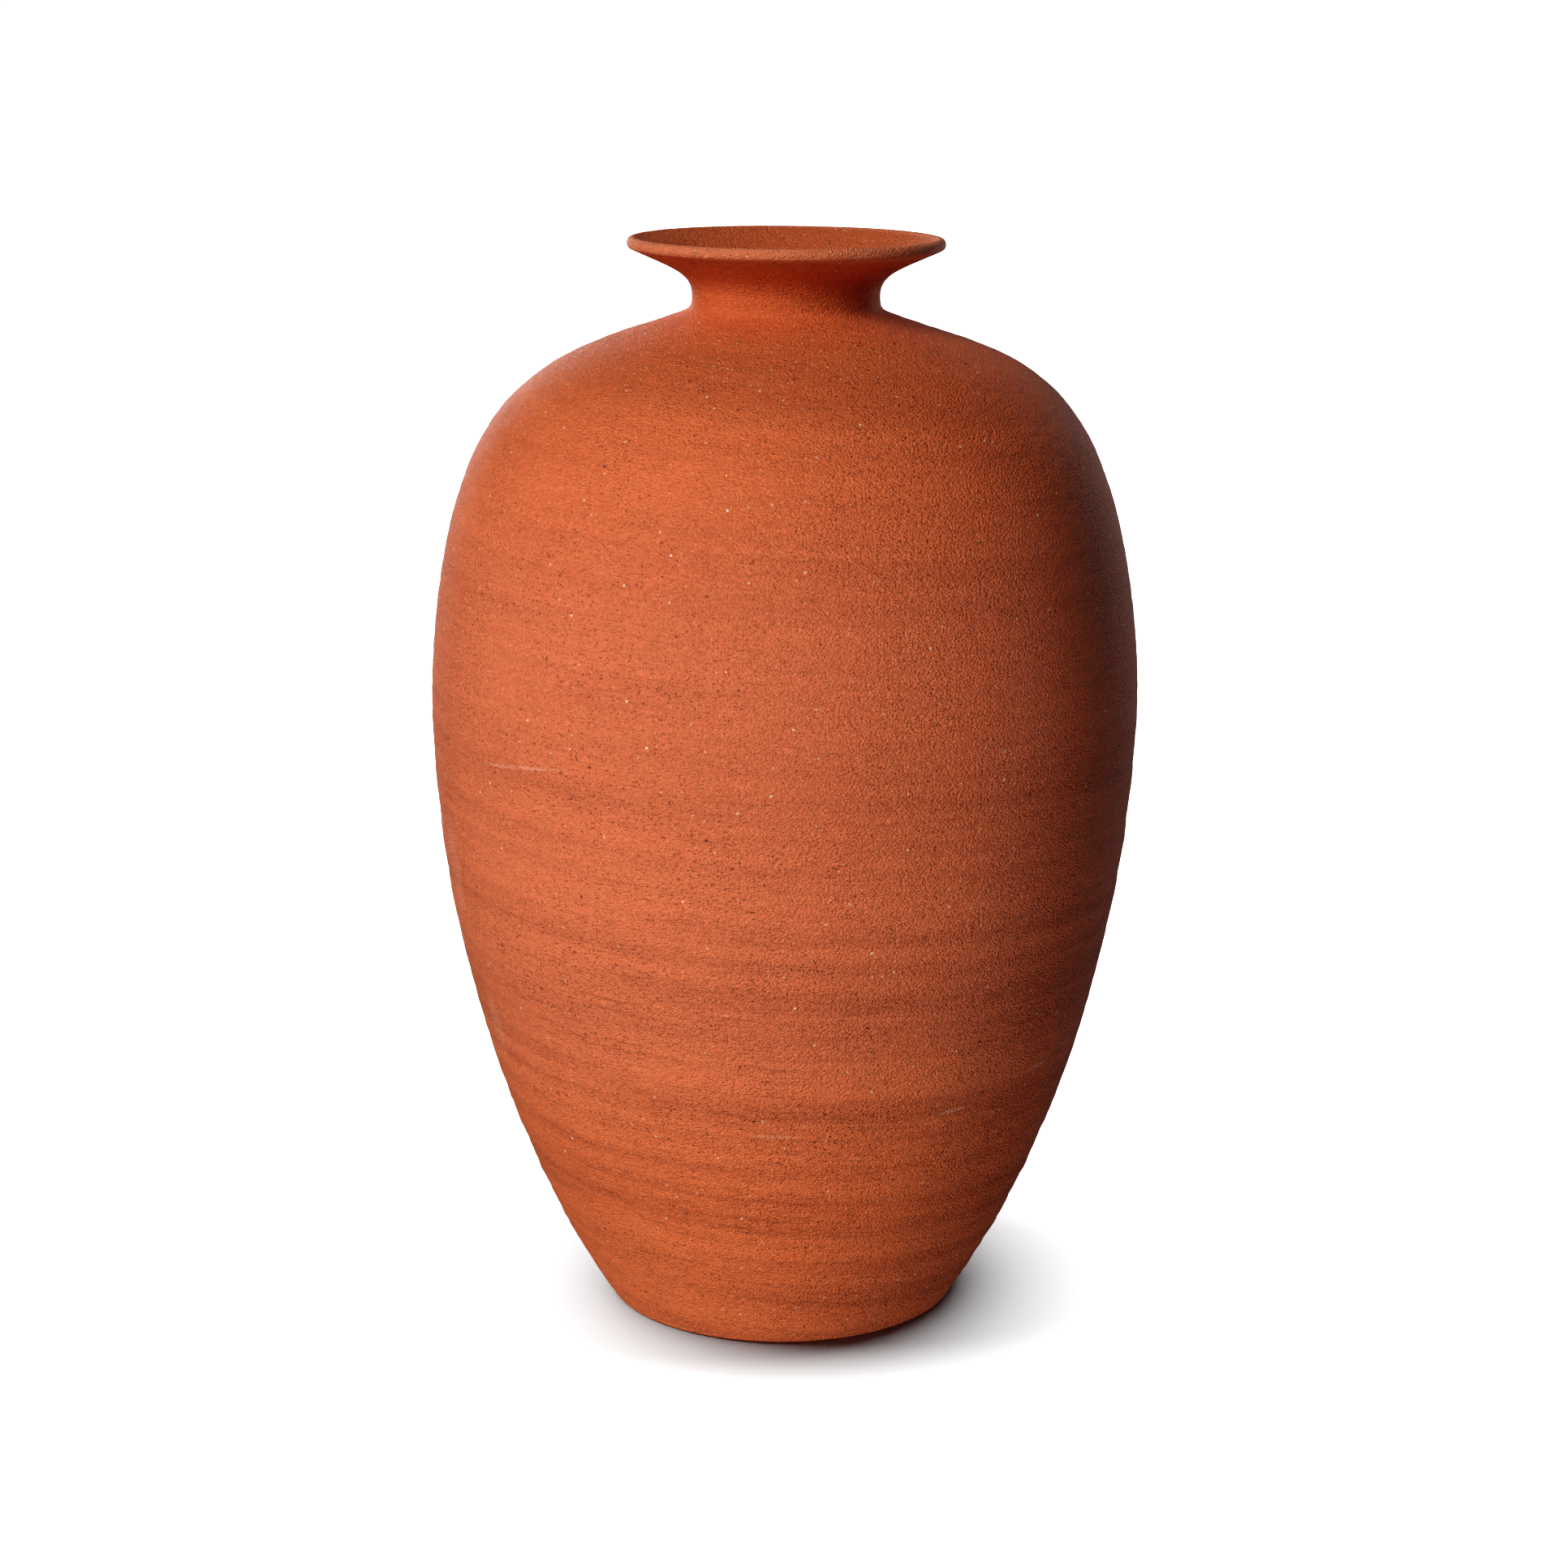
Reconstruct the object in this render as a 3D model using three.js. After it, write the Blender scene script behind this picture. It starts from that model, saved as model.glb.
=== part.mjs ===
// A tall wheel-thrown earthenware vase: narrow flat foot, full belly, rounded shoulder, short
// neck and a flared mouth. It is built from the seven sections that are joined before firing:
// base slab, lower wall, belly wall, shoulder wall, shoulder cap, neck collar and mouth rim.
// Millimetres, +Z up, axis of revolution on Z, underside of the foot at z = 0.
import * as THREE from "three";
import { mergeVertices } from "three/addons/utils/BufferGeometryUtils.js";

// Outer outline, from the foot up. A slope is the radius gained for each millimetre of height,
// and a handle is how far a curve keeps its end direction.
const FOOT_RADIUS = 66;
const FOOT_SLOPE = 0.638;
const FOOT_HANDLE = 95.9;
const BELLY_RADIUS = 130.7;
const BELLY_HEIGHT = 230;
const BELLY_HANDLE_DOWN = 24.1;
const BELLY_HANDLE_UP = 49.2;
const SHOULDER_RADIUS = 106.2;
const SHOULDER_HEIGHT = 335.9;
const SHOULDER_ANGLE = 53.3; // degrees above level, leaning in to the axis
const SHOULDER_HANDLE_DOWN = 21.2;
const SHOULDER_HANDLE_UP = 27;
const SEAT_RADIUS = 43.6;
const SEAT_HEIGHT = 370.7;
const SEAT_ANGLE = 19.8; // degrees above level, leaning in to the axis
const SEAT_HANDLE = 26.6;

// Neck and mouth.
const NECK_RADIUS = 34.2;
const NECK_HEIGHT = 379;
const NECK_HANDLE_DOWN = 4.1;
const NECK_HANDLE_UP = 7.9;
const NECK_FILLET_HANDLE = 6.7;
const THROAT_RADIUS = 28;
const THROAT_TOP = 381;
const RIM_JOINT_HEIGHT = 384;
const FLARE_RADIUS = 55.6;
const FLARE_HEIGHT = 395.5;
const FLARE_ANGLE = 24; // degrees above level, leaning out
const FLARE_HANDLE = 16.5;
const LIP_RADIUS = 57.7;
const LIP_CREST_RADIUS = 55.6;
const LIP_INNER_RADIUS = 53.4;
const LIP_DROP = 0.9;
const HEIGHT = 400;

// Wall, floor and the joints between sections.
const WALL = 7;
const FLOOR_HEIGHT = 9;
const LOWER_JOINT_HEIGHT = 122;
const BELLY_JOINT_HEIGHT = 240;
const SHOULDER_JOINT_HEIGHT = 316;
const TONGUE_WIDTH = 2.4;
const TONGUE_TIP_WIDTH = 1.4;
const TONGUE_HEIGHT = 2.2;
const SLIP_GAP = 0.3;

// Facets.
const SEGMENTS = 48;
const LOWER_CURVE_STEPS = 9;
const UPPER_CURVE_STEPS = 6;
const NECK_CURVE_STEPS = 4;

const point = (radius, height) => new THREE.Vector2(radius, height);

function towards(start, degrees, distance) {
  const angle = THREE.MathUtils.degToRad(degrees);
  return point(start.x + distance * Math.cos(angle), start.y + distance * Math.sin(angle));
}

function curve(start, handle, endHandle, end, steps) {
  return new THREE.CubicBezierCurve(start, handle, endHandle, end).getPoints(steps);
}

function lowerOutline() {
  const foot = point(FOOT_RADIUS, 0);
  const footHandle = point(FOOT_RADIUS + FOOT_SLOPE * FOOT_HANDLE, FOOT_HANDLE);
  const belly = point(BELLY_RADIUS, BELLY_HEIGHT);
  const bellyHandle = point(BELLY_RADIUS, BELLY_HEIGHT - BELLY_HANDLE_DOWN);
  return curve(foot, footHandle, bellyHandle, belly, LOWER_CURVE_STEPS);
}

function upperOutline() {
  const belly = point(BELLY_RADIUS, BELLY_HEIGHT);
  const bellyHandle = point(BELLY_RADIUS, BELLY_HEIGHT + BELLY_HANDLE_UP);
  const shoulder = point(SHOULDER_RADIUS, SHOULDER_HEIGHT);
  const below = towards(shoulder, -SHOULDER_ANGLE, SHOULDER_HANDLE_DOWN);
  const above = towards(shoulder, 180 - SHOULDER_ANGLE, SHOULDER_HANDLE_UP);
  const seat = point(SEAT_RADIUS, SEAT_HEIGHT);
  const seatHandle = towards(seat, -SEAT_ANGLE, SEAT_HANDLE);
  const side = curve(belly, bellyHandle, below, shoulder, UPPER_CURVE_STEPS);
  const top = curve(shoulder, above, seatHandle, seat, UPPER_CURVE_STEPS);
  return [...side, ...top.slice(1)];
}

// The wall's outer outline, from the foot to the seat of the neck.
function wallOutline() {
  return [...lowerOutline(), ...upperOutline().slice(1)];
}

// The same line moved in by the wall thickness, square to the surface.
function insideOutline(outline) {
  return outline.map((place, index) => {
    const before = outline[Math.max(index - 1, 0)];
    const after = outline[Math.min(index + 1, outline.length - 1)];
    const along = after.clone().sub(before).normalize();
    return point(place.x - along.y * WALL, place.y + along.x * WALL);
  });
}

function radiusAt(line, height) {
  const above = Math.max(line.findIndex((place) => place.y >= height), 1);
  const [low, high] = [line[above - 1], line[above]];
  const share = (height - low.y) / (high.y - low.y);
  return THREE.MathUtils.lerp(low.x, high.x, share);
}

// The part of a line between two heights, with a point of its own at each end.
function stretch(line, bottom, top) {
  const clear = 1;
  const inner = line.filter((place) => place.y > bottom + clear && place.y < top - clear);
  const first = point(radiusAt(line, bottom), bottom);
  return [first, ...inner, point(radiusAt(line, top), top)];
}

// The tongue under a section: outer foot, tip and inner foot, with slack added all round.
function wedge(middle, height, slack) {
  const foot = TONGUE_WIDTH / 2 + slack;
  const tip = TONGUE_TIP_WIDTH / 2 + slack;
  const depth = TONGUE_HEIGHT + slack;
  return [
    point(middle + foot, height),
    point(middle + tip, height - depth),
    point(middle - tip, height - depth),
    point(middle - foot, height),
  ];
}

// The groove in the top of a section, from its outer edge inwards, with room for slip.
function groove(middle, height) {
  return wedge(middle, height, SLIP_GAP);
}

// The tongue under the section above, from its inner edge outwards.
function tongue(middle, height) {
  return wedge(middle, height, 0).reverse();
}

function clay(color, roughness) {
  return new THREE.MeshStandardMaterial({ color, roughness, metalness: 0 });
}

function bodyClay() {
  return clay("#b4512c", 0.9);
}

function footClay() {
  return clay("#a84a29", 0.93);
}

function rimClay() {
  return clay("#bb5a33", 0.88);
}

// A solid of revolution from a profile that runs up the outside and down the inside.
function turned(name, profile, material) {
  const lathe = new THREE.LatheGeometry(profile, SEGMENTS);
  lathe.deleteAttribute("uv");
  lathe.deleteAttribute("normal");
  lathe.rotateX(Math.PI / 2);
  const geometry = mergeVertices(lathe, 1e-4);
  geometry.computeVertexNormals();
  const mesh = new THREE.Mesh(geometry, material);
  mesh.name = name;
  return mesh;
}

const outside = wallOutline();
const inside = insideOutline(outside);

function wallMiddle(height) {
  return (radiusAt(outside, height) + radiusAt(inside, height)) / 2;
}

const seatMiddle = (SEAT_RADIUS + THROAT_RADIUS) / 2;

// The solid disc that the vase stands on, with the first groove round its edge.
function baseSlab() {
  const edge = stretch(outside, 0, FLOOR_HEIGHT);
  const top = groove(wallMiddle(FLOOR_HEIGHT), FLOOR_HEIGHT);
  const profile = [point(0, 0), ...edge, ...top, point(0, FLOOR_HEIGHT)];
  return turned("base_slab", profile, footClay());
}

// A ring of wall between two joints.
function wallRing(name, bottom, top) {
  const outer = stretch(outside, bottom, top);
  const inner = stretch(inside, bottom, top).reverse();
  const upper = groove(wallMiddle(top), top);
  const lower = tongue(wallMiddle(bottom), bottom);
  const profile = [...outer, ...upper, ...inner, ...lower, outer[0]];
  return turned(name, profile, bodyClay());
}

// The dome that closes in to the throat. Its flat top round the hole is the neck's seat.
function shoulderCap() {
  const outer = stretch(outside, SHOULDER_JOINT_HEIGHT, SEAT_HEIGHT);
  const clearOfThroat = inside.filter((place) => place.x > THROAT_RADIUS + WALL);
  const last = clearOfThroat[clearOfThroat.length - 1];
  const domed = stretch(clearOfThroat, SHOULDER_JOINT_HEIGHT, last.y).reverse();
  const hole = [point(THROAT_RADIUS, SEAT_HEIGHT), point(THROAT_RADIUS, last.y + WALL / 3)];
  const upper = groove(seatMiddle, SEAT_HEIGHT);
  const lower = tongue(wallMiddle(SHOULDER_JOINT_HEIGHT), SHOULDER_JOINT_HEIGHT);
  const profile = [...outer, ...upper, ...hole, ...domed, ...lower, outer[0]];
  return turned("shoulder_cap", profile, bodyClay());
}

// The neck and the underside of the mouth are one curve, cut at the rim joint.
function neckOutline() {
  const seat = point(SEAT_RADIUS, SEAT_HEIGHT);
  const fillet = towards(seat, 180 - SEAT_ANGLE, NECK_FILLET_HANDLE);
  const neck = point(NECK_RADIUS, NECK_HEIGHT);
  const below = point(NECK_RADIUS, NECK_HEIGHT - NECK_HANDLE_DOWN);
  const above = point(NECK_RADIUS, NECK_HEIGHT + NECK_HANDLE_UP);
  const flare = point(FLARE_RADIUS, FLARE_HEIGHT);
  const flareHandle = towards(flare, 180 + FLARE_ANGLE, FLARE_HANDLE);
  const lower = curve(seat, fillet, below, neck, NECK_CURVE_STEPS);
  const upper = curve(neck, above, flareHandle, flare, NECK_CURVE_STEPS * 2);
  return [...lower, ...upper.slice(1)];
}

// The dished inside of the mouth, from the throat up to the lip.
function dishOutline() {
  const throat = point(THROAT_RADIUS, THROAT_TOP);
  const throatHandle = point(THROAT_RADIUS, THROAT_TOP + NECK_HANDLE_UP);
  const lip = point(LIP_INNER_RADIUS, HEIGHT - LIP_DROP);
  const lipHandle = towards(lip, 180 + FLARE_ANGLE, FLARE_HANDLE);
  return curve(throat, throatHandle, lipHandle, lip, NECK_CURVE_STEPS * 2);
}

const neckLine = neckOutline();
const dishLine = dishOutline();
const rimMiddle = (radiusAt(neckLine, RIM_JOINT_HEIGHT) + radiusAt(dishLine, RIM_JOINT_HEIGHT)) / 2;

function neckCollar() {
  const outer = stretch(neckLine, SEAT_HEIGHT, RIM_JOINT_HEIGHT);
  const throatWall = point(THROAT_RADIUS, SEAT_HEIGHT);
  const inner = stretch(dishLine, THROAT_TOP, RIM_JOINT_HEIGHT).reverse();
  const upper = groove(rimMiddle, RIM_JOINT_HEIGHT);
  const lower = tongue(seatMiddle, SEAT_HEIGHT);
  const profile = [...outer, ...upper, ...inner, throatWall, ...lower, outer[0]];
  return turned("neck_collar", profile, rimClay());
}

function mouthRim() {
  const underside = stretch(neckLine, RIM_JOINT_HEIGHT, FLARE_HEIGHT);
  const dish = stretch(dishLine, RIM_JOINT_HEIGHT, HEIGHT - LIP_DROP).reverse();
  const lip = [
    point(LIP_RADIUS - LIP_DROP, FLARE_HEIGHT + LIP_DROP),
    point(LIP_RADIUS, (FLARE_HEIGHT + HEIGHT) / 2),
    point(LIP_RADIUS - LIP_DROP, HEIGHT - LIP_DROP),
    point(LIP_CREST_RADIUS, HEIGHT),
  ];
  const lower = tongue(rimMiddle, RIM_JOINT_HEIGHT);
  const profile = [...underside, ...lip, ...dish, ...lower, underside[0]];
  return turned("mouth_rim", profile, rimClay());
}

const group = new THREE.Group();
group.name = "amphora";
group.add(
  baseSlab(),
  wallRing("lower_wall", FLOOR_HEIGHT, LOWER_JOINT_HEIGHT),
  wallRing("belly_wall", LOWER_JOINT_HEIGHT, BELLY_JOINT_HEIGHT),
  wallRing("shoulder_wall", BELLY_JOINT_HEIGHT, SHOULDER_JOINT_HEIGHT),
  shoulderCap(),
  neckCollar(),
  mouthRim(),
);

export default group;
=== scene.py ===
"""A tall wheel-thrown terracotta vase on a white studio floor. Metres, +Z up, front at -Y."""
import math

import bpy
import numpy as np
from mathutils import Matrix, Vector


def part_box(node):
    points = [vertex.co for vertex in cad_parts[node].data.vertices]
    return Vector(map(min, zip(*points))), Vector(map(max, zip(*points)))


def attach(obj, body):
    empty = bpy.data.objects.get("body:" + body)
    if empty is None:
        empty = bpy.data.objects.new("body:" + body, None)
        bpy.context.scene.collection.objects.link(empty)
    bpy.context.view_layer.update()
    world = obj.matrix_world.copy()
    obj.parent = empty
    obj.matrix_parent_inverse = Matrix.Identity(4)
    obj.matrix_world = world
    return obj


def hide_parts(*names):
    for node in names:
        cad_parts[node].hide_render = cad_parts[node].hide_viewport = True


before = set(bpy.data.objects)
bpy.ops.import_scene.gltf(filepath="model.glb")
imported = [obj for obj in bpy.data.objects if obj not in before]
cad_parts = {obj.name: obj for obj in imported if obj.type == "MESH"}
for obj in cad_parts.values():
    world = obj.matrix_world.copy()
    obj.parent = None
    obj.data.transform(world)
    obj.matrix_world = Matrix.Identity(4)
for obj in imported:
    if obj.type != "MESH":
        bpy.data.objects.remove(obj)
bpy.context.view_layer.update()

MM = 0.001
TAU = 2 * math.pi

# The outline of the CAD solids, in millimetres: radius from the axis, height above the floor.
FOOT_RADIUS = 66
FOOT_SLOPE = 0.638
FOOT_HANDLE = 95.9
BELLY_RADIUS = 130.7
BELLY_HEIGHT = 230
BELLY_HANDLE_DOWN = 24.1
BELLY_HANDLE_UP = 49.2
SHOULDER_RADIUS = 106.2
SHOULDER_HEIGHT = 335.9
SHOULDER_ANGLE = 53.3
SHOULDER_HANDLE_DOWN = 21.2
SHOULDER_HANDLE_UP = 27
SEAT_RADIUS = 43.6
SEAT_HEIGHT = 370.7
SEAT_ANGLE = 19.8
SEAT_HANDLE = 26.6
NECK_RADIUS = 34.2
NECK_HEIGHT = 379
NECK_HANDLE_UP = 7.9
THROAT_RADIUS = 28
THROAT_TOP = 381
FLARE_RADIUS = 55.6
FLARE_HEIGHT = 395.5
FLARE_ANGLE = 24
FLARE_HANDLE = 16.5
LIP_RADIUS = 57.7
WALL = 7
HEIGHT = 400

# The corner at the foot of the neck, a little crisper than the CAD fillet.
NECK_HANDLE_DOWN = 4.8
NECK_FILLET_HANDLE = 9.2

# The joints between sections: a tongue under each section sits in a groove in the one below.
TONGUE_HEIGHT = 2.2
TONGUE_WIDTH = 2.4
TONGUE_TIP_WIDTH = 1.4
SLIP_GAP = 0.3

# The fillet of the lip and the arris of the foot.
LIP_CREST_RADIUS = 55.6
LIP_INNER_RADIUS = 53.4
LIP_DROP = 0.9
ARRIS = 0.7

# Mesh pitch, and the angle in degrees that counts as a sharp edge.
AROUND = 640
VERY_FINE = 0.5
FINE = 1.25
COARSE = 3.6
SHARP_ANGLE = 40

# The flat floor and underside: rings from CENTRE_RADIUS out, the floor's to just inside its joint.
FLAT_RINGS = 30
CENTRE_RADIUS = 1.5
FLOOR_INSET = 3

# Throwing marks climb HELIX_PITCH in each turn. Ribs outside and inside: (waves to a turn, seed,
# depth, how far they wander). The wall is smoothed more above SMOOTHED_FROM.
SEED = 7
HELIX_PITCH = 46
OUTER_RIBS = [(9, SEED, 0.05, 0.7), (2, SEED + 5, 0.16, 0.9), (5, SEED + 9, 0.07, 1.2)]
INNER_RIBS = [(3, SEED + 60, 0.5, 0.5), (8, SEED + 64, 0.12, 1)]
SMOOTHED_FROM = 120
SMOOTHED_OVER = 170
NECK_FADE = 10
WOBBLE_DEPTH = 0.16
SCUFF_DEPTH = 0.035
INNER_WOBBLE_DEPTH = 0.1

# Craters and grains in the mesh: known ones as (angle from the front in radians, height, size,
# depth), and DENTS more at seeded places.
CRATERS = [
    (-0.28, 198, 1.9, -0.6),
    (0.53, 209, 1.5, -0.5),
    (0.01, 312, 1.6, 0.45),
    (0.59, 114, 1.5, -0.5),
    (0.74, 170, 1.5, 0.4),
]
DENTS = 240
DENTS_FROM = 5
DENTS_BELOW_SEAT = 12
DENT_SIZES = (0.9, 2.0)
DENT_DEPTHS = (-0.45, 0.3)

# Pale rubbed marks: (angle, height, half length, half width, slope, strength).
RUBS = [
    (-0.78, 225, 28, 0.9, 0.10, 0.60),
    (0.58, 100, 9, 1.0, 0.03, 0.60),
    (0.95, 108, 11, 1.1, 0.05, 0.60),
    (-0.02, 96, 14, 0.9, 0.0, 0.45),
    (-1.23, 175, 9, 22, 0.0, 0.30),
    (-1.14, 118, 8, 14, 0.0, 0.28),
]

# How the fired pot has settled: lean, dip of the mouth, and swell of the belly in millimetres.
LEAN = 0.0044
NECK_TILT = 0.007
NECK_BLEND = 20
SWELL = 0.35
SWELL_ANGLE = 0.9

# The grain of the clay, in millimetres, and how much flatter than round it is pressed.
MOTTLE_SIZE = 42
PATCH_SIZE = 30
CLOUD_SIZE = 5
RIPPLE_SIZE = 1.6
SAND_SIZE = 1.1
GRAIN_SQUASH = 1.8

# Crumbs lie thick on a ring at one height, and the clay is tinted away from the middle.
GRIT_RING_HEIGHT = 363
MIDDLE_HEIGHT = 205.0

# Colours, linear.
CLAY_LIGHT = (0.85, 0.240, 0.106, 1)
CLAY_DARK = (0.51, 0.132, 0.060, 1)
ENDS_TINT = (1.03, 0.94, 0.77, 1)
# The lip colour is partly wear and partly a painted highlight on the rounded lip.
PALE_LIP_WEAR_AND_HIGHLIGHT = (1.0, 0.44, 0.25, 1)
RUBBED = (0.86, 0.42, 0.26, 1)
PIT = (0.16, 0.036, 0.018, 1)
HOLE = (0.13, 0.03, 0.018, 1)
IRON = (0.07, 0.03, 0.045, 1)
GROG = (1.0, 0.66, 0.44, 1)
CRUMB = (1.0, 0.45, 0.24, 1)
FLOOR_GREY = (0.3, 0.3, 0.3, 1)
FILL_COLOUR = (0.66, 0.73, 1.0, 1)
WHITE = (1, 1, 1, 1)

# The studio: metres and degrees, with the lens and the sensor in millimetres.
FLOOR_HALF = 30.0
FLOOR_SINK = 0.0003
SOFTBOX_SIZE = 0.5
SOFTBOX_DISTANCE = 1.6
SOFTBOX_AIM = 0.2
FILL_STRENGTH = 0.155
WHITE_STRENGTH = 1.05
SENSOR_WIDTH = 36
LENS = 76.4
CAMERA_PLACE = (0.0009, -1.214, 0.4924)
CAMERA_TILT = 13.69

# How far the picture's tone curve deepens the shadows.
SHADOW_TOE = 0.1


def top_of(node):
    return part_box(node)[1][2] / MM


FLOOR_HEIGHT = top_of("base_slab")
LOWER_JOINT = top_of("lower_wall")
BELLY_JOINT = top_of("belly_wall")
SHOULDER_JOINT = top_of("shoulder_wall")
NECK_JOINT = top_of("shoulder_cap")
RIM_JOINT = top_of("neck_collar")


# ---------------------------------------------------------------- outlines


def towards(start, degrees, distance):
    angle = math.radians(degrees)
    return (start[0] + distance * math.cos(angle), start[1] + distance * math.sin(angle))


def bezier(*corners, steps=200):
    share = np.linspace(0, 1, steps)[:, None]
    a, b, c, d = (np.array(corner, float) for corner in corners)
    rest = 1 - share
    return rest**3 * a + 3 * rest**2 * share * b + 3 * rest * share**2 * c + share**3 * d


def joined(*curves):
    lines = [curves[0]] + [curve[1:] for curve in curves[1:]]
    return np.vstack(lines)


def resampled(line, pitch):
    """The same line with points an even distance apart."""
    steps = np.hypot(*np.diff(line, axis=0).T)
    along = np.concatenate([[0], np.cumsum(steps)])
    count = max(2, int(round(along[-1] / pitch)) + 1)
    places = np.linspace(0, along[-1], count)
    return np.column_stack([np.interp(places, along, line[:, i]) for i in (0, 1)])


def between(line, bottom, top):
    """The part of a rising line between two heights."""
    inner = line[(line[:, 1] > bottom) & (line[:, 1] < top)]
    ends = [(np.interp(height, line[:, 1], line[:, 0]), height) for height in (bottom, top)]
    return np.vstack([ends[0], inner, ends[1]])


def wall_outline():
    foot = (FOOT_RADIUS, 0)
    belly = (BELLY_RADIUS, BELLY_HEIGHT)
    shoulder = (SHOULDER_RADIUS, SHOULDER_HEIGHT)
    seat = (SEAT_RADIUS, SEAT_HEIGHT)
    lower = bezier(
        foot,
        (FOOT_RADIUS + FOOT_SLOPE * FOOT_HANDLE, FOOT_HANDLE),
        (BELLY_RADIUS, BELLY_HEIGHT - BELLY_HANDLE_DOWN),
        belly,
    )
    side = bezier(
        belly,
        (BELLY_RADIUS, BELLY_HEIGHT + BELLY_HANDLE_UP),
        towards(shoulder, -SHOULDER_ANGLE, SHOULDER_HANDLE_DOWN),
        shoulder,
    )
    dome = bezier(
        shoulder,
        towards(shoulder, 180 - SHOULDER_ANGLE, SHOULDER_HANDLE_UP),
        towards(seat, -SEAT_ANGLE, SEAT_HANDLE),
        seat,
    )
    return joined(lower, side, dome)


def neck_outline():
    seat = (SEAT_RADIUS, SEAT_HEIGHT)
    neck = (NECK_RADIUS, NECK_HEIGHT)
    flare = (FLARE_RADIUS, FLARE_HEIGHT)
    lower = bezier(
        seat,
        towards(seat, 180 - SEAT_ANGLE, NECK_FILLET_HANDLE),
        (NECK_RADIUS, NECK_HEIGHT - NECK_HANDLE_DOWN),
        neck,
    )
    upper = bezier(
        neck,
        (NECK_RADIUS, NECK_HEIGHT + NECK_HANDLE_UP),
        towards(flare, 180 + FLARE_ANGLE, FLARE_HANDLE),
        flare,
    )
    return joined(lower, upper)


def dish_outline():
    throat = (THROAT_RADIUS, THROAT_TOP)
    lip = (LIP_INNER_RADIUS, HEIGHT - LIP_DROP)
    return bezier(
        throat,
        (THROAT_RADIUS, THROAT_TOP + NECK_HANDLE_UP),
        towards(lip, 180 + FLARE_ANGLE, FLARE_HANDLE),
        lip,
    )


def lip_outline():
    """From the underside of the flare round the soft edge to the dished inside."""
    under = (FLARE_RADIUS, FLARE_HEIGHT)
    middle = (LIP_RADIUS, (FLARE_HEIGHT + HEIGHT) / 2)
    crest = (LIP_CREST_RADIUS, HEIGHT)
    inner = (LIP_INNER_RADIUS, HEIGHT - LIP_DROP)
    return joined(
        bezier(under, towards(under, FLARE_ANGLE, 1.3), (middle[0], middle[1] - 1.5), middle),
        bezier(middle, (middle[0], middle[1] + 1.5), (crest[0] + 1.2, crest[1]), crest),
        bezier(crest, (crest[0] - 0.9, crest[1]), towards(inner, FLARE_ANGLE, 0.8), inner),
    )


def offset_in(line, distance):
    along = np.gradient(line, axis=0)
    along /= np.hypot(*along.T)[:, None]
    return np.column_stack([line[:, 0] - along[:, 1] * distance, line[:, 1] + along[:, 0] * distance])


WALL_OUT = wall_outline()
WALL_IN = offset_in(WALL_OUT, WALL)
WALL_IN = WALL_IN[WALL_IN[:, 0] > THROAT_RADIUS + WALL]
NECK_OUT = neck_outline()
DISH = dish_outline()


def at_height(line, height):
    return float(np.interp(height, line[:, 1], line[:, 0]))


def wedge(middle, height, slack):
    foot, tip = TONGUE_WIDTH / 2 + slack, TONGUE_TIP_WIDTH / 2 + slack
    low = height - TONGUE_HEIGHT - slack
    return np.array(
        [(middle + foot, height), (middle + tip, low), (middle - tip, low), (middle - foot, height)]
    )


def groove(middle, height):
    return wedge(middle, height, SLIP_GAP)


def tongue(middle, height):
    return wedge(middle, height, 0)[::-1]


# ---------------------------------------------------------------- the surface of the clay


def waves(angle, along, seed, wavelengths, turns, count):
    """A smooth field with no seam: sines that close on themselves round the axis."""
    chance = np.random.default_rng(seed)
    total = np.zeros(np.broadcast(angle, along).shape)
    for _ in range(count):
        rate = TAU / chance.uniform(*wavelengths) * chance.choice([-1, 1])
        turn = chance.integers(turns[0], turns[1] + 1)
        total += np.sin(turn * angle + rate * along + chance.uniform(0, TAU))
    return total / math.sqrt(count / 2)


def helix(angle, along, order, seed, drift):
    """Marks left by a finger or rib that climbs as the wheel turns, fading in and out."""
    chance = np.random.default_rng(seed)
    phase = angle + TAU * along / HELIX_PITCH
    strength = 0.6 + 0.4 * waves(angle, along, seed + 1, (90, 200), (0, 2), 3)
    wander = drift * waves(angle, along, seed + 2, (120, 260), (1, 3), 3)
    return strength * np.sin(order * phase + chance.uniform(0, TAU) + wander)


def ribs(angle, along, marks):
    return sum(depth * helix(angle, along, order, seed, drift) for order, seed, depth, drift in marks)


def dents(angle, along, radius):
    """Small craters and grains, in millimetres of depth: a few known ones and many at seeded places."""
    chance = np.random.default_rng(SEED + 40)
    marks = [(turn, lengths_up_to(height), size, depth) for turn, height, size, depth in CRATERS]
    for _ in range(DENTS):
        turn = chance.uniform(-math.pi, math.pi)
        height = chance.uniform(DENTS_FROM, WALL_LENGTH - DENTS_BELOW_SEAT)
        marks.append((turn, height, chance.uniform(*DENT_SIZES), chance.uniform(*DENT_DEPTHS)))
    total = np.zeros(np.broadcast(angle, along).shape)
    for turn, height, size, depth in marks:
        near = np.abs(along[:, 0] - height) < 3 * size
        across = ((angle - turn + math.pi) % TAU - math.pi) * radius[near]
        up = along[near] - height
        total[near] += depth * np.exp(-(across**2 + (1.4 * up) ** 2) / size**2)
    return total


def lengths_up_to(height):
    """How far along the outside of the wall a height is."""
    line = between(WALL_OUT, 0.0, height)
    return float(np.hypot(*np.diff(line, axis=0).T).sum())


WALL_LENGTH = lengths_up_to(SEAT_HEIGHT)


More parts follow.
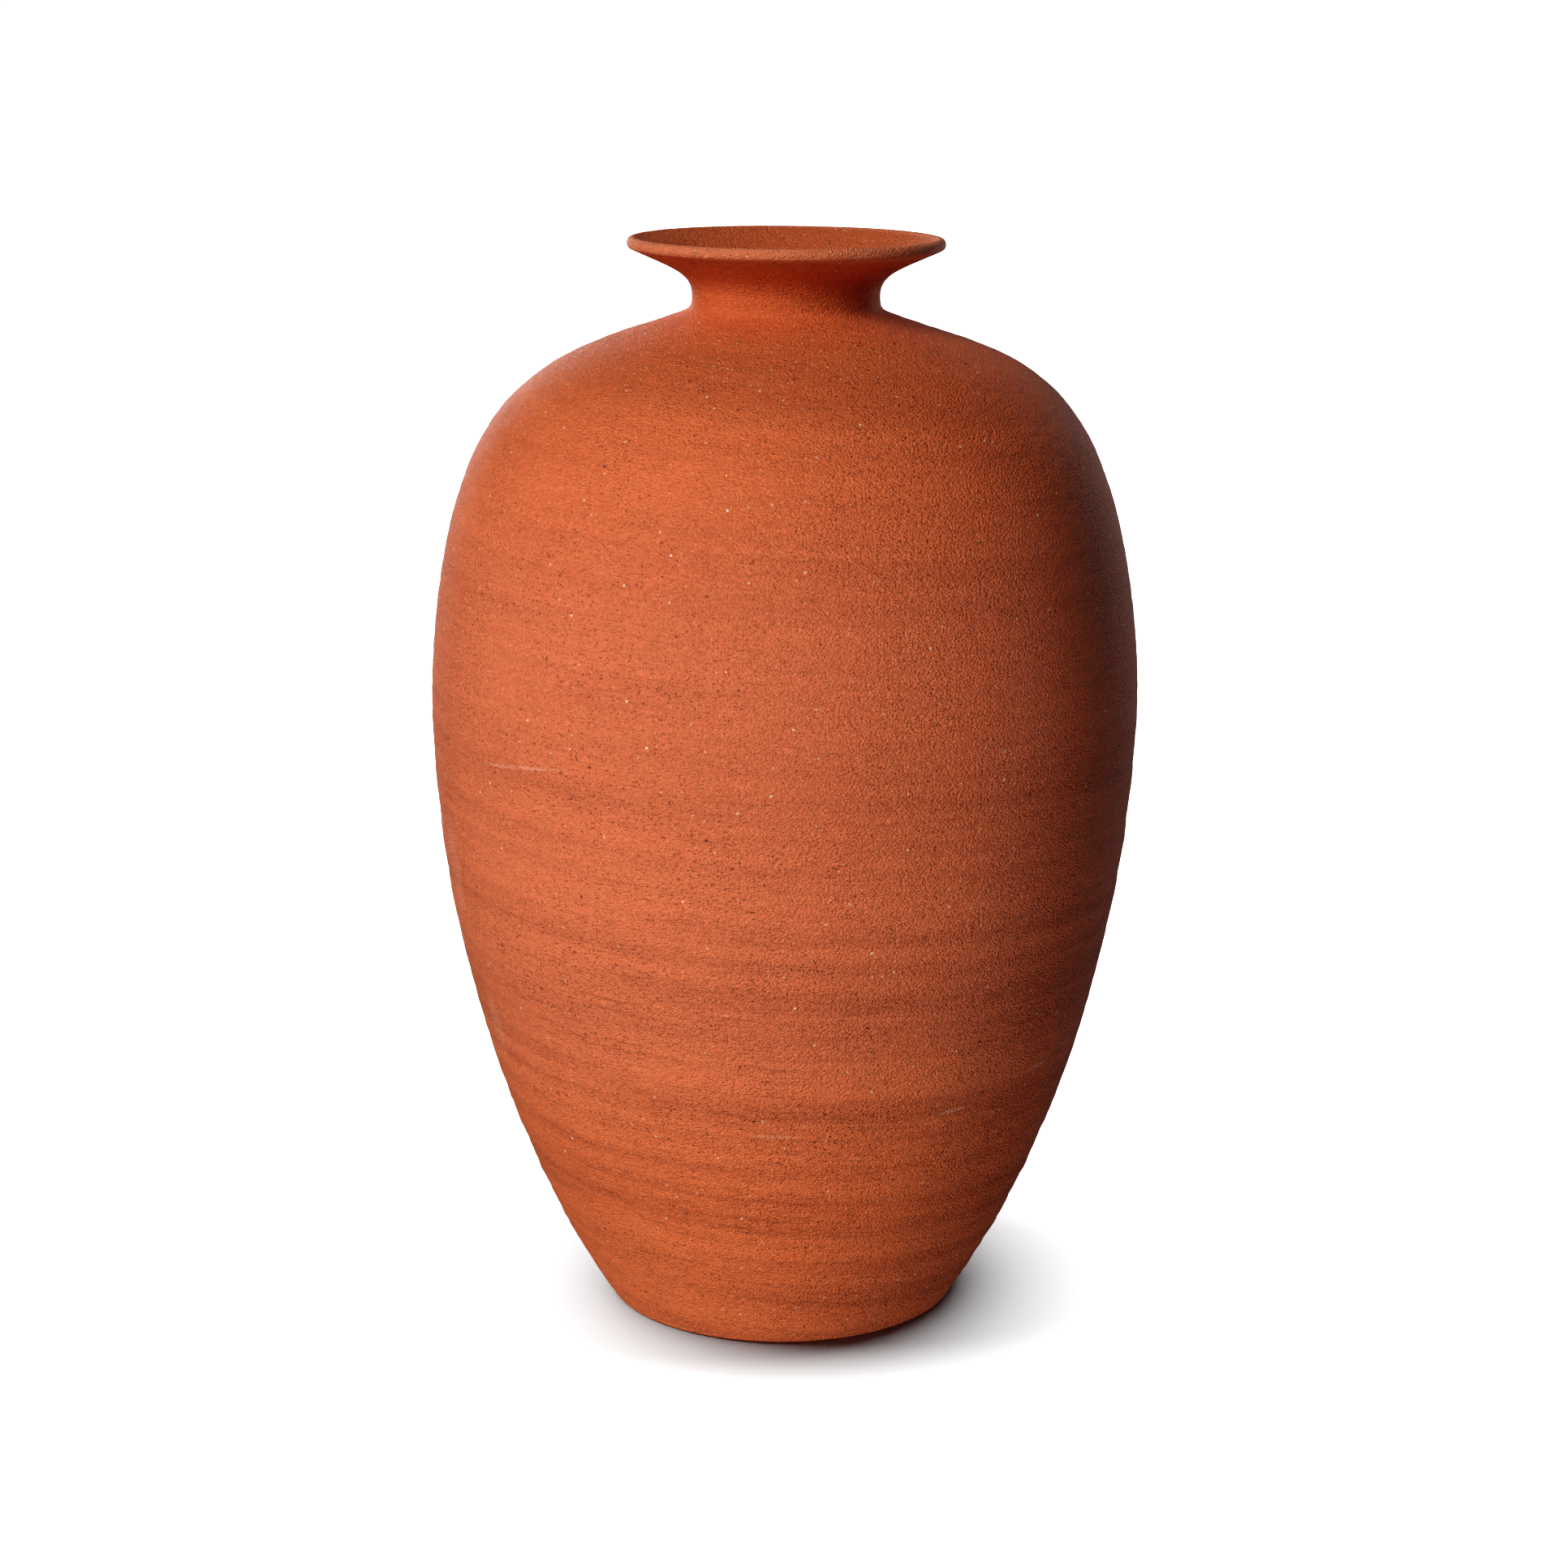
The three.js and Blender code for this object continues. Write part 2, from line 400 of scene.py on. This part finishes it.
def outer_relief(angle, along, radius):
    """Throwing ridges outside, deeper in the lower half where the wall was not smoothed again."""
    low = 1 - np.clip((along - SMOOTHED_FROM) / SMOOTHED_OVER, 0, 1)
    neck = np.clip((along - WALL_LENGTH) / NECK_FADE, 0, 1)
    wobble = WOBBLE_DEPTH * waves(angle, along, SEED + 20, (70, 180), (2, 5), 6)
    scuff = SCUFF_DEPTH * waves(angle, along, SEED + 30, (5, 12), (12, 50), 14)
    relief = (0.45 + 0.55 * low) * ribs(angle, along, OUTER_RIBS) + wobble + scuff
    return relief * (1 - 0.75 * neck) + dents(angle, along, radius)


def inner_relief(angle, along):
    wobble = INNER_WOBBLE_DEPTH * waves(angle, along, SEED + 70, (60, 160), (2, 5), 5)
    return ribs(angle, along, INNER_RIBS) + wobble


def settled(x, y, z):
    """The whole pot leans a little, is a little out of round, and its mouth dips to one side."""
    grown = z / HEIGHT
    swell = SWELL * np.sin(math.pi * np.clip(z / SEAT_HEIGHT, 0, 1))
    angle = np.arctan2(x, -y)
    stretch = 1 + swell * np.cos(2 * (angle - SWELL_ANGLE)) / BELLY_RADIUS
    share = np.clip((z - SEAT_HEIGHT + NECK_BLEND) / NECK_BLEND, 0, 1)
    share = share * share * (3 - 2 * share)
    return x * stretch + LEAN * HEIGHT * grown, y * stretch, z - NECK_TILT * share * x


def lathe_mesh(name, bands, poles=False):
    """A closed solid turned from bands of outline: (points, kind, length of wall below the band).

    The kind is out, in or flat, for the relief that it has. The bands run up the outside, across the
    top, down the inside and across the bottom.
    """
    angle = np.arange(AROUND) * TAU / AROUND - math.pi
    angle = angle[None, :]
    rings = []
    for line, kind, start in bands:
        steps = np.hypot(*np.diff(line, axis=0).T)
        along = start + np.concatenate([[0], np.cumsum(steps)])
        tangent = np.gradient(line, axis=0)
        tangent /= np.hypot(*tangent.T)[:, None]
        normal = np.column_stack([tangent[:, 1], -tangent[:, 0]])
        radius = line[:, :1]
        if kind == "out":
            relief = outer_relief(angle, along[:, None], radius)
        elif kind == "in":
            relief = inner_relief(angle, -along[:, None])
        else:
            relief = np.zeros((len(line), AROUND))
        r = radius + normal[:, :1] * relief
        z = line[:, 1:] + normal[:, 1:] * relief
        ring = np.stack([r * np.sin(angle), -r * np.cos(angle), z], axis=-1)
        rings.append(ring)
    grid = np.concatenate(rings)
    rows = len(grid)
    x, y, z = settled(*(grid[..., i] for i in range(3)))
    points = np.stack([x, y, z], axis=-1).reshape(-1, 3) * MM
    last = rows - 1 if poles else rows
    row = np.arange(last)[:, None]
    column = np.arange(AROUND)[None, :]
    here = row * AROUND + column
    side = row * AROUND + (column + 1) % AROUND
    above = ((row + 1) % rows) * AROUND + column
    above_side = ((row + 1) % rows) * AROUND + (column + 1) % AROUND
    quads = np.stack([here, side, above_side, above], axis=-1).reshape(-1, 4)
    return solid(name, points, quads, rows, poles)


def solid(name, points, quads, rows, poles):
    """A mesh object from rings of points, with a fan of triangles over each end if it has poles."""
    triangles = np.zeros((0, 3), int)
    if poles:
        first = np.arange(AROUND)
        top = (rows - 1) * AROUND + first
        centres = np.array([points[first].mean(axis=0), points[top].mean(axis=0)])
        count = len(points)
        points = np.vstack([points, centres])
        lower = np.stack([np.roll(first, -1), first, np.full(AROUND, count)], axis=-1)
        upper = np.stack([top, np.roll(top, -1), np.full(AROUND, count + 1)], axis=-1)
        triangles = np.vstack([lower, upper])
    mesh = bpy.data.meshes.new(name)
    mesh.vertices.add(len(points))
    mesh.vertices.foreach_set("co", points.ravel())
    loops = np.concatenate([quads.ravel(), triangles.ravel()])
    mesh.loops.add(len(loops))
    mesh.loops.foreach_set("vertex_index", loops)
    starts = np.concatenate(
        [np.arange(len(quads)) * 4, 4 * len(quads) + np.arange(len(triangles)) * 3]
    )
    mesh.polygons.add(len(starts))
    mesh.polygons.foreach_set("loop_start", starts)
    mesh.update(calc_edges=True)
    mesh.validate()
    mesh.polygons.foreach_set("use_smooth", np.ones(len(mesh.polygons), bool))
    mesh.set_sharp_from_angle(angle=math.radians(SHARP_ANGLE))
    piece = bpy.data.objects.new(name, mesh)
    bpy.context.scene.collection.objects.link(piece)
    return piece


def wall_middle(height):
    return (at_height(WALL_OUT, height) + at_height(WALL_IN, height)) / 2


def wall_ring(name, bottom, top):
    """One ring of wall, with the groove in its top and the tongue under it."""
    out = resampled(between(WALL_OUT, bottom, top), FINE)
    inside = resampled(between(WALL_IN, bottom, top), COARSE)[::-1]
    bands = [
        (out, "out", lengths_up_to(bottom)),
        (groove(wall_middle(top), top), "flat", 0),
        (inside, "in", lengths_up_to(bottom)),
        (tongue(wall_middle(bottom), bottom), "flat", 0),
    ]
    return lathe_mesh(name, bands)


def base_slab():
    """The disc that the pot stands on, with a soft arris round its flat underside."""
    outside = resampled(between(WALL_OUT, ARRIS, FLOOR_HEIGHT), FINE)
    foot = (FOOT_RADIUS - ARRIS, 0)
    edge = bezier(foot, (foot[0] + 0.5, 0), (outside[0][0] - 0.1, ARRIS / 2), outside[0], steps=4)
    middle = wall_middle(FLOOR_HEIGHT)
    under = np.linspace((CENTRE_RADIUS, 0), foot, FLAT_RINGS)
    floor_edge = (middle - FLOOR_INSET, FLOOR_HEIGHT)
    floor = np.linspace(floor_edge, (CENTRE_RADIUS, FLOOR_HEIGHT), FLAT_RINGS)
    bands = [
        (under, "flat", 0),
        (edge[1:-1], "flat", 0),
        (outside, "out", lengths_up_to(ARRIS)),
        (groove(middle, FLOOR_HEIGHT), "flat", 0),
        (floor, "flat", 0),
    ]
    return lathe_mesh("foot", bands, poles=True)


def shoulder_cap():
    """The dome, with a hole for the throat and the groove that the neck sits in."""
    out = resampled(between(WALL_OUT, SHOULDER_JOINT, NECK_JOINT), FINE)
    top = WALL_IN[-1, 1]
    inside = resampled(between(WALL_IN, SHOULDER_JOINT, top), COARSE)[::-1]
    seat_middle = (SEAT_RADIUS + THROAT_RADIUS) / 2
    hole = np.array([(THROAT_RADIUS, NECK_JOINT), (THROAT_RADIUS, top + WALL / 3)], float)
    bands = [
        (out, "out", lengths_up_to(SHOULDER_JOINT)),
        (groove(seat_middle, NECK_JOINT), "flat", 0),
        (resampled(hole, COARSE), "flat", 0),
        (inside, "in", lengths_up_to(SHOULDER_JOINT)),
        (tongue(wall_middle(SHOULDER_JOINT), SHOULDER_JOINT), "flat", 0),
    ]
    return lathe_mesh("shoulder_dome", bands)


def rim_middle():
    return (at_height(NECK_OUT, RIM_JOINT) + at_height(DISH, RIM_JOINT)) / 2


def neck():
    """The collar from its seat on the dome to the joint under the mouth."""
    out = resampled(between(NECK_OUT, NECK_JOINT, RIM_JOINT), VERY_FINE)
    throat = np.array([(THROAT_RADIUS, NECK_JOINT), (THROAT_RADIUS, THROAT_TOP)], float)
    inside = resampled(joined(throat, between(DISH, THROAT_TOP, RIM_JOINT)), VERY_FINE)[::-1]
    bands = [
        (out, "out", WALL_LENGTH),
        (groove(rim_middle(), RIM_JOINT), "flat", 0),
        (inside, "flat", 0),
        (tongue((SEAT_RADIUS + THROAT_RADIUS) / 2, NECK_JOINT), "flat", 0),
    ]
    return lathe_mesh("neck_ring", bands)


def mouth():
    """The flare with its rounded lip and dished inside."""
    below = float(np.hypot(*np.diff(between(NECK_OUT, NECK_JOINT, RIM_JOINT), axis=0).T).sum())
    under = between(NECK_OUT, RIM_JOINT, FLARE_HEIGHT)
    dish = between(DISH, RIM_JOINT, HEIGHT - LIP_DROP)[::-1]
    skin = resampled(joined(under, lip_outline(), dish), VERY_FINE)
    bands = [
        (skin, "out", WALL_LENGTH + below),
        (tongue(rim_middle(), RIM_JOINT), "flat", 0),
    ]
    return lathe_mesh("mouth_flare", bands)


# ---------------------------------------------------------------- clay


class Graph:
    """A material's nodes, with the calls that the materials share."""

    def __init__(self, name):
        self.material = bpy.data.materials.new(name)
        self.material.use_nodes = True
        self.nodes = self.material.node_tree.nodes
        self.links = self.material.node_tree.links
        self.shader = self.nodes["Principled BSDF"]

    def feed(self, socket, value):
        if isinstance(value, bpy.types.NodeSocket):
            self.links.new(value, socket)
        else:
            socket.default_value = value

    def node(self, kind, inputs=(), output=0, **settings):
        made = self.nodes.new("ShaderNode" + kind)
        for key, value in settings.items():
            setattr(made, key, value)
        for key, value in dict(inputs).items():
            self.feed(made.inputs[key], value)
        return made.outputs[output]

    def math(self, operation, a, b, clamp=False):
        return self.node("Math", {0: a, 1: b}, operation=operation, use_clamp=clamp)

    def single(self, operation, value):
        return self.node("Math", {0: value}, operation=operation)

    def times(self, a, b):
        return self.math("MULTIPLY", a, b)

    def plus(self, a, b):
        return self.math("ADD", a, b)

    def total(self, start, parts):
        """The start value plus each field times its amount."""
        for field, amount in parts:
            start = self.plus(self.times(field, amount), start)
        return start

    def ramp(self, value, low, high, out_low=0.0, out_high=1.0, smooth=True):
        kind = "SMOOTHSTEP" if smooth else "LINEAR"
        inputs = {0: value, 1: low, 2: high, 3: out_low, 4: out_high}
        return self.node("MapRange", inputs, interpolation_type=kind)

    def noise(self, vector, scale, detail=2.0, roughness=0.5):
        inputs = {"Vector": vector, "Scale": scale, "Detail": detail, "Roughness": roughness}
        return self.node("TexNoise", inputs)

    def mix(self, share, a, b, blend="MIX"):
        inputs = {0: share, 6: a, 7: b}
        return self.node("Mix", inputs, output=2, data_type="RGBA", blend_type=blend)

    def vector(self, x, y, z):
        return self.node("CombineXYZ", {0: x, 1: y, 2: z})

    def scaled(self, vector, factor):
        return self.node("VectorMath", {0: vector, 3: factor}, operation="SCALE")

    def parts(self, kind, whole):
        return (self.node(kind, {0: whole}, output=i) for i in range(3))

    def spots(self, where, cell, share, radius):
        """Specks of uneven size in a random share of the cells of a pattern `cell` mm wide."""
        distance = self.node("TexVoronoi", {"Vector": where, "Scale": 1 / cell})
        pick, size, strength = self.parts("SeparateColor", distance.node.outputs["Color"])
        reach = self.ramp(size, 0.0, 1.0, 0.5 * radius / cell, 1.5 * radius / cell, False)
        speck = self.ramp(self.math("DIVIDE", distance, reach), 0.45, 1.0, 1.0, 0.0)
        chosen = self.math("LESS_THAN", pick, share)
        strength = self.ramp(strength, 0.0, 1.0, 0.25, 1.0, False)
        return self.times(self.times(speck, chosen), strength)


class Clay(Graph):
    """Unglazed, grogged and wheel-thrown clay. Lengths are in millimetres until the last step."""

    def __init__(self, name, banding, pitting, roughness):
        super().__init__(name)
        here = self.node("TexCoord", output=3)
        self.place = self.scaled(here, 1 / MM)
        self.x, self.y, self.z = self.parts("SeparateXYZ", self.place)
        self.turn = self.math("ARCTAN2", self.x, self.times(self.y, -1.0))
        self.coarse = self.ramp(self.z, 70, 290, 1.45, 1.12)
        self.banding = self.ramp(self.z, 90, 260, 1.6 * banding, 0.7 * banding)
        self.throwing_marks()
        self.grain()
        self.specks(pitting)
        self.finish(roughness)

    def throwing_marks(self):
        """Long marks that follow the climb of the throwing spiral: bands, streaks and fine lines."""
        phase = self.plus(self.turn, self.times(self.z, TAU / HELIX_PITCH))
        cosine = self.single("COSINE", phase)
        sine = self.single("SINE", phase)
        around = self.single("SINE", self.plus(self.turn, 0.9))

        def wound(thin, slow, short, seed, detail):
            inputs = {
                "Vector": self.vector(
                    self.times(cosine, thin), self.times(sine, thin), self.times(self.z, slow)
                ),
                "W": self.plus(self.times(around, short), seed),
                "Scale": 1.0,
                "Detail": detail,
                "Roughness": 0.55,
            }
            return self.node("TexNoise", inputs, noise_dimensions="4D")

        self.bands = wound(0.95, 0.02, 0.6, 3.1, 1.0)
        self.streaks = wound(4.5, 0.08, 1.6, 11.7, 2.0)
        self.lines = self.ramp(wound(16.0, 0.6, 3.5, 23.0, 1.0), 0.60, 0.74)

    def grain(self):
        """The clay itself, from broad mottling down to single grains of sand."""
        squash = {0: self.place, 1: (1.0, 1.0, GRAIN_SQUASH)}
        self.pressed = self.node("VectorMath", squash, operation="MULTIPLY")
        ripple = {"Vector": self.place, "Scale": 1 / RIPPLE_SIZE, "Detail": 2.0}
        ripple = self.node("TexNoise", ripple, output=1)
        shake = {0: self.pressed, 1: self.scaled(ripple, 1.1)}
        self.shaken = self.node("VectorMath", shake, operation="ADD")
        self.mottle = self.noise(self.place, 1 / MOTTLE_SIZE, 3.0, 0.55)
        self.cloud = self.noise(self.pressed, 1 / CLOUD_SIZE, 3.0, 0.6)
        self.sand = self.noise(self.pressed, 1 / SAND_SIZE, 2.0, 0.6)
        self.domes = self.node("TexVoronoi", {"Vector": self.shaken, "Scale": 1.0})
        cells = self.domes.node.outputs["Color"]
        self.grains = self.node("SeparateColor", {0: cells}, output=0)

    def specks(self, pitting):
        """Pits, holes, iron specks, grog, and the crumbs that are thick on a ring and on the lip."""
        patches = self.ramp(self.noise(self.place, 1 / PATCH_SIZE), 0.34, 0.66, 0.4, 1.0)
        self.pits = self.times(self.spots(self.shaken, 1.25, 2 * pitting, 0.42), patches)
        self.holes = self.times(self.spots(self.shaken, 5.0, 0.6 * pitting, 0.8), patches)
        self.iron = self.spots(self.place, 6.0, 0.2, 0.42)
        self.grog = self.spots(self.place, 3.8, 0.36, 0.52)
        off_ring = self.single("ABSOLUTE", self.plus(self.z, -GRIT_RING_HEIGHT))
        ring = self.ramp(off_ring, 3.0, 11.0, 1.0, 0.0)
        gritty = self.plus(ring, self.ramp(self.z, 392.0, 397.0, 0.0, 0.7))
        amount = self.plus(self.times(gritty, 1.2), 0.35)
        self.crumbs = self.times(self.spots(self.place, 1.7, 0.55, 0.5), amount)

    def fired(self):
        """The colour of the clay without its specks."""
        sums = [
            (self.bands, self.times(self.banding, 1.3)),
            (self.streaks, self.times(self.banding, 0.34)),
            (self.lines, self.times(self.banding, 0.3)),
            (self.mottle, 0.26),
            (self.cloud, 0.34),
            (self.sand, self.times(self.coarse, 0.8)),
            (self.grains, self.times(self.coarse, 0.32)),
        ]
        tone = self.total(0.42, [(self.plus(field, -0.5), amount) for field, amount in sums])
        colour = self.mix(self.math("ADD", tone, 0.0, clamp=True), CLAY_LIGHT, CLAY_DARK)
        off_middle = self.single("ABSOLUTE", self.plus(self.z, -MIDDLE_HEIGHT))
        return self.mix(self.ramp(off_middle, 60.0, 150.0), colour, ENDS_TINT, "MULTIPLY")

    def wear_and_lip_highlight(self, colour):
        """The lip painted paler all round, partly wear and partly a painted highlight on its rounded
        roll, and pale marks rubbed on the wall.
        """
        radius = self.vector(self.x, self.y, 0.0)
        radius = self.node("VectorMath", {0: radius}, output=1, operation="LENGTH")
        # Painted highlight and wear: the outer lip is mixed all round towards a paler clay.
        lip = self.times(self.ramp(radius, 53.5, 56.0), self.ramp(self.z, 388.0, 393.0, 0.0, 0.3))
        colour = self.mix(lip, colour, PALE_LIP_WEAR_AND_HIGHLIGHT)
        caught = self.ramp(self.plus(self.sand, self.streaks), 0.75, 1.05)
        for mark in RUBS:
            colour = self.mix(self.times(self.rub(*mark), caught), colour, RUBBED)
        return colour

    def rub(self, angle, height, half_length, half_width, slope, strength):
        """A soft-edged mark rubbed across the wall: 0 outside it and `strength` in its middle."""
        across = self.times(self.plus(self.turn, -angle), BELLY_RADIUS)
        up = self.plus(self.plus(self.z, -height), self.times(across, -slope))
        length = self.math("POWER", self.times(across, 1 / half_length), 2.0)
        width = self.math("POWER", self.times(up, 1 / half_width), 2.0)
        return self.ramp(self.plus(length, width), 0.1, 1.0, strength, 0.0)

    def finish(self, roughness):
        colour = self.wear_and_lip_highlight(self.fired())
        for share, paint in (
            (self.times(self.pits, self.times(self.coarse, 0.6)), PIT),
            (self.times(self.holes, 0.9), HOLE),
            (self.times(self.iron, 0.8), IRON),
            (self.times(self.grog, 1.1), GROG),
            (self.crumbs, CRUMB),
        ):
            colour = self.mix(share, colour, paint)
        rough = self.ramp(self.sand, 0.2, 0.8, roughness - 0.05, roughness + 0.05, False)
        bump = {"Strength": 1.0, "Distance": MM, "Height": self.height()}
        self.feed(self.shader.inputs["Base Color"], colour)
        self.feed(self.shader.inputs["Roughness"], rough)
        self.feed(self.shader.inputs["Normal"], self.node("Bump", bump))
        self.shader.inputs["Diffuse Roughness"].default_value = 0.25
        self.shader.inputs["Specular IOR Level"].default_value = 0.5

    def height(self):
        grit = self.total(
            0.0, [(self.sand, 0.46), (self.domes, -0.4), (self.cloud, 0.34), (self.pits, -0.4)]
        )
        marks = [
            (self.streaks, self.times(self.banding, 0.24)),
            (self.lines, self.times(self.banding, -0.16)),
            (self.holes, -0.45),
            (self.grog, 0.16),
            (self.crumbs, 0.3),
        ]
        return self.total(self.times(grit, self.coarse), marks)


def make_vase():
    body = Clay("body_clay", banding=0.8, pitting=0.34, roughness=0.8).material
    rim = Clay("rim_clay", banding=0.35, pitting=0.12, roughness=0.8).material
    foot = Clay("foot_clay", banding=0.7, pitting=0.34, roughness=0.85).material
    rings = [
        ("lower_body", "lower_wall", FLOOR_HEIGHT, LOWER_JOINT),
        ("belly", "belly_wall", LOWER_JOINT, BELLY_JOINT),
        ("upper_belly", "shoulder_wall", BELLY_JOINT, SHOULDER_JOINT),
    ]
    made = [(base_slab(), "base_slab", "foot_clay", foot)]
    made += [(wall_ring(name, low, top), node, "body_clay", body) for name, node, low, top in rings]
    made += [
        (shoulder_cap(), "shoulder_cap", "body_clay", body),
        (neck(), "neck_collar", "rim_clay", rim),
        (mouth(), "mouth_rim", "rim_clay", rim),
    ]
    for piece, node, slot, material in made:
        piece.data.materials.append(material)
        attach(piece, "root")
        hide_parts(node)
    return [piece for piece, *_ in made]


# ---------------------------------------------------------------- studio


def studio_white():
    g = Graph("studio_white")
    g.shader.inputs["Base Color"].default_value = FLOOR_GREY
    g.shader.inputs["Roughness"].default_value = 1.0
    g.shader.inputs["Specular IOR Level"].default_value = 0.0
    return g.material


def make_floor():
    mesh = bpy.data.meshes.new("studio_floor")
    corners = [(x * FLOOR_HALF, y * FLOOR_HALF, 0) for x, y in ((-1, -1), (1, -1), (1, 1), (-1, 1))]
    mesh.from_pydata(corners, [], [(0, 1, 2, 3)])
    floor = bpy.data.objects.new("studio_floor", mesh)
    bpy.context.scene.collection.objects.link(floor)
    mesh.materials.append(studio_white())
    floor.location.z = -FLOOR_SINK
    floor.visible_diffuse = False
    floor.visible_glossy = False
    return floor


def group_of(name, members):
    group = bpy.data.collections.new(name)
    for member in members:
        group.objects.link(member)
    return group


def only_on(light, receivers, blockers):
    light.light_linking.receiver_collection = group_of(light.name + "_on", receivers)
    light.light_linking.blocker_collection = group_of(light.name + "_shade", blockers)


def direction(azimuth, elevation):
    """Azimuth 0 is the front, and grows to the right of the picture."""
    turn, rise = math.radians(azimuth), math.radians(elevation)
    return Vector((math.sin(turn) * math.cos(rise), -math.cos(turn) * math.cos(rise), math.sin(rise)))


def hang(name, data, place, target):
    light = bpy.data.objects.new(name, data)
    bpy.context.scene.collection.objects.link(light)
    light.location = place
    light.rotation_euler = (target - place).to_track_quat("-Z", "Y").to_euler()
    return light


def softbox(name, azimuth, elevation, power):
    data = bpy.data.lights.new(name, "AREA")
    data.shape = "RECTANGLE"
    data.size = data.size_y = SOFTBOX_SIZE
    data.energy = power
    target = Vector((0, 0, SOFTBOX_AIM))
    return hang(name, data, target + SOFTBOX_DISTANCE * direction(azimuth, elevation), target)


def sun_light(name, azimuth, elevation, spread, strength):
    data = bpy.data.lights.new(name, "SUN")
    data.angle = math.radians(spread)
    data.energy = strength
    return hang(name, data, direction(azimuth, elevation), Vector())


def make_lights(pieces, floor):
    """Softboxes for the vase alone, and two wide suns that draw its soft shadow on the floor."""
    mouth_pieces = [piece for piece in pieces if piece.name in ("neck_ring", "mouth_flare")]
    body_pieces = [piece for piece in pieces if piece not in mouth_pieces]
    for name, azimuth, elevation, power, lit in (
        ("key_softbox", -35, 30, 17.2, pieces),
        ("low_bounce", -20, -26, 10.4, body_pieces),
        ("mouth_bounce", -20, -26, 3.0, mouth_pieces),
        ("back_softbox", -160, 10, 17.0, pieces),
        ("edge_softbox", 145, 8, 7.0, pieces),
    ):
        only_on(softbox(name, azimuth, elevation, power), lit, pieces)
    for name, azimuth, elevation, spread, strength in (
        ("floor_right", 90, 76, 36, 12.6),
        ("floor_left", -90, 61, 50, 13.2),
    ):
        only_on(sun_light(name, azimuth, elevation, spread, strength), [floor], pieces)


def make_world():
    """White where the camera sees it, and a weak bluish fill for everything else."""
    world = bpy.data.worlds.new("studio")
    bpy.context.scene.world = world
    world.use_nodes = True
    nodes, links = world.node_tree.nodes, world.node_tree.links
    nodes.clear()
    out = nodes.new("ShaderNodeOutputWorld")
    pick = nodes.new("ShaderNodeMixShader")
    seen = nodes.new("ShaderNodeLightPath")
    links.new(seen.outputs["Is Camera Ray"], pick.inputs[0])
    for socket, colour, strength in ((1, FILL_COLOUR, FILL_STRENGTH), (2, WHITE, WHITE_STRENGTH)):
        background = nodes.new("ShaderNodeBackground")
        background.inputs[0].default_value = colour
        background.inputs[1].default_value = strength
        links.new(background.outputs[0], pick.inputs[socket])
    links.new(pick.outputs[0], out.inputs[0])


def make_camera():
    data = bpy.data.cameras.new("camera")
    data.sensor_width = SENSOR_WIDTH
    data.lens = LENS
    data.clip_end = 100
    camera = bpy.data.objects.new("camera", data)
    bpy.context.scene.collection.objects.link(camera)
    camera.location = CAMERA_PLACE
    camera.rotation_euler = (math.radians(90 - CAMERA_TILT), 0, 0)
    bpy.context.scene.camera = camera


def set_colours():
    """Plain sRGB with a tone curve that deepens the shadows a little."""
    view = bpy.context.scene.view_settings
    view.view_transform = "Standard"
    view.look = "None"
    view.use_curve_mapping = True
    curve = view.curve_mapping.curves[3]
    for level in (0.02, 0.04, 0.07, 0.11, 0.17, 0.26, 0.4, 0.6, 0.8):
        curve.points.new(level, level**2 * (1 + SHADOW_TOE) / (level + SHADOW_TOE))
    view.curve_mapping.update()


pieces = make_vase()
make_lights(pieces, make_floor())
make_world()
make_camera()
set_colours()
